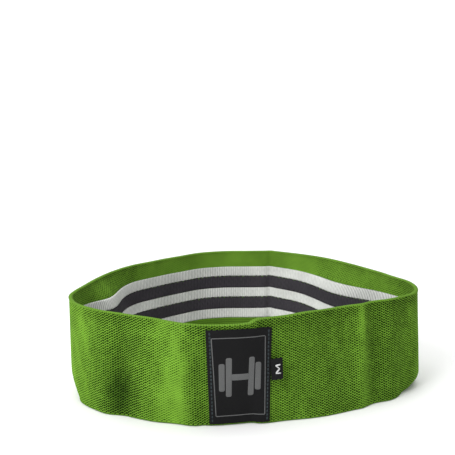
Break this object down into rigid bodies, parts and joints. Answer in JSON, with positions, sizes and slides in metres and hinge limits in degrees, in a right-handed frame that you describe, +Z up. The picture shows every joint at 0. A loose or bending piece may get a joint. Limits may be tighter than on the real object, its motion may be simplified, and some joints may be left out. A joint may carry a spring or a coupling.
{
  "type": "fabric resistance band",
  "caption": "Wide woven elastic loop band for leg exercises, with grip stripes inside, a sewn label and a size tab.",
  "frame": {"origin": "on the floor under the middle of the loop's bounding box", "axes": "+X along the loop's long way, to the right as the label is read; -Y out of the label's face; +Z up along the band's width"},
  "size_m": [0.278, 0.2279, 0.08],
  "materials": {
    "knit": "matte knit",
    "rubber": "natural rubber",
    "white_grip": "matte ribbed",
    "grey_grip": "matte ribbed",
    "label": "matte woven",
    "label_print": "matte print",
    "label_thread": "thread",
    "seam_thread": "thread",
    "tab_print": "matte print"
  },
  "bodies": {
    "band": {"front_knit": "knit", "front_rubber_threads": "rubber", "front_white_grips": "white_grip", "front_grey_grips": "grey_grip", "back_knit": "knit", "back_rubber_threads": "rubber", "back_white_grips": "white_grip", "back_grey_grips": "grey_grip", "lap_knit": "knit", "lap_rubber_threads": "rubber", "lap_white_grips": "white_grip", "lap_grey_grips": "grey_grip", "label_base": "label", "label_border": "label_print", "label_emblem": "label_print", "label_stitches_left": "label_thread", "label_stitches_right": "label_thread", "seam_stitches": "seam_thread"},
    "left_end": {"left_end_knit": "knit", "left_end_rubber_threads": "rubber", "left_end_white_grips": "white_grip", "left_end_grey_grips": "grey_grip"},
    "right_end": {"right_end_knit": "knit", "right_end_rubber_threads": "rubber", "right_end_white_grips": "white_grip", "right_end_grey_grips": "grey_grip"},
    "size_tab": {"size_tab": "label", "size_letter": "tab_print"}
  },
  "joints": [
    {"name": "left_end_stretch", "type": "slide", "parent": "band", "child": "left_end", "axis": [-1, 0, 0], "range_m": [0, 0.08], "stiffness_N_per_m": 600, "deforming": ["front_rubber_threads", "front_white_grips", "front_grey_grips", "back_rubber_threads", "back_white_grips", "back_grey_grips"]},
    {"name": "right_end_stretch", "type": "slide", "parent": "band", "child": "right_end", "axis": [1, 0, 0], "range_m": [0, 0.08], "stiffness_N_per_m": 600},
    {"name": "size_tab_fold", "type": "hinge", "parent": "band", "child": "size_tab", "pos_m": [0.01855, -0.10389, 0.042], "axis": [0, 0, -1], "range_deg": [-10, 130], "stiffness_Nm_per_rad": 0.0005}
  ],
  "couplings": [
    {"joint": "right_end_stretch", "follows": "left_end_stretch", "ratio": 1}
  ]
}
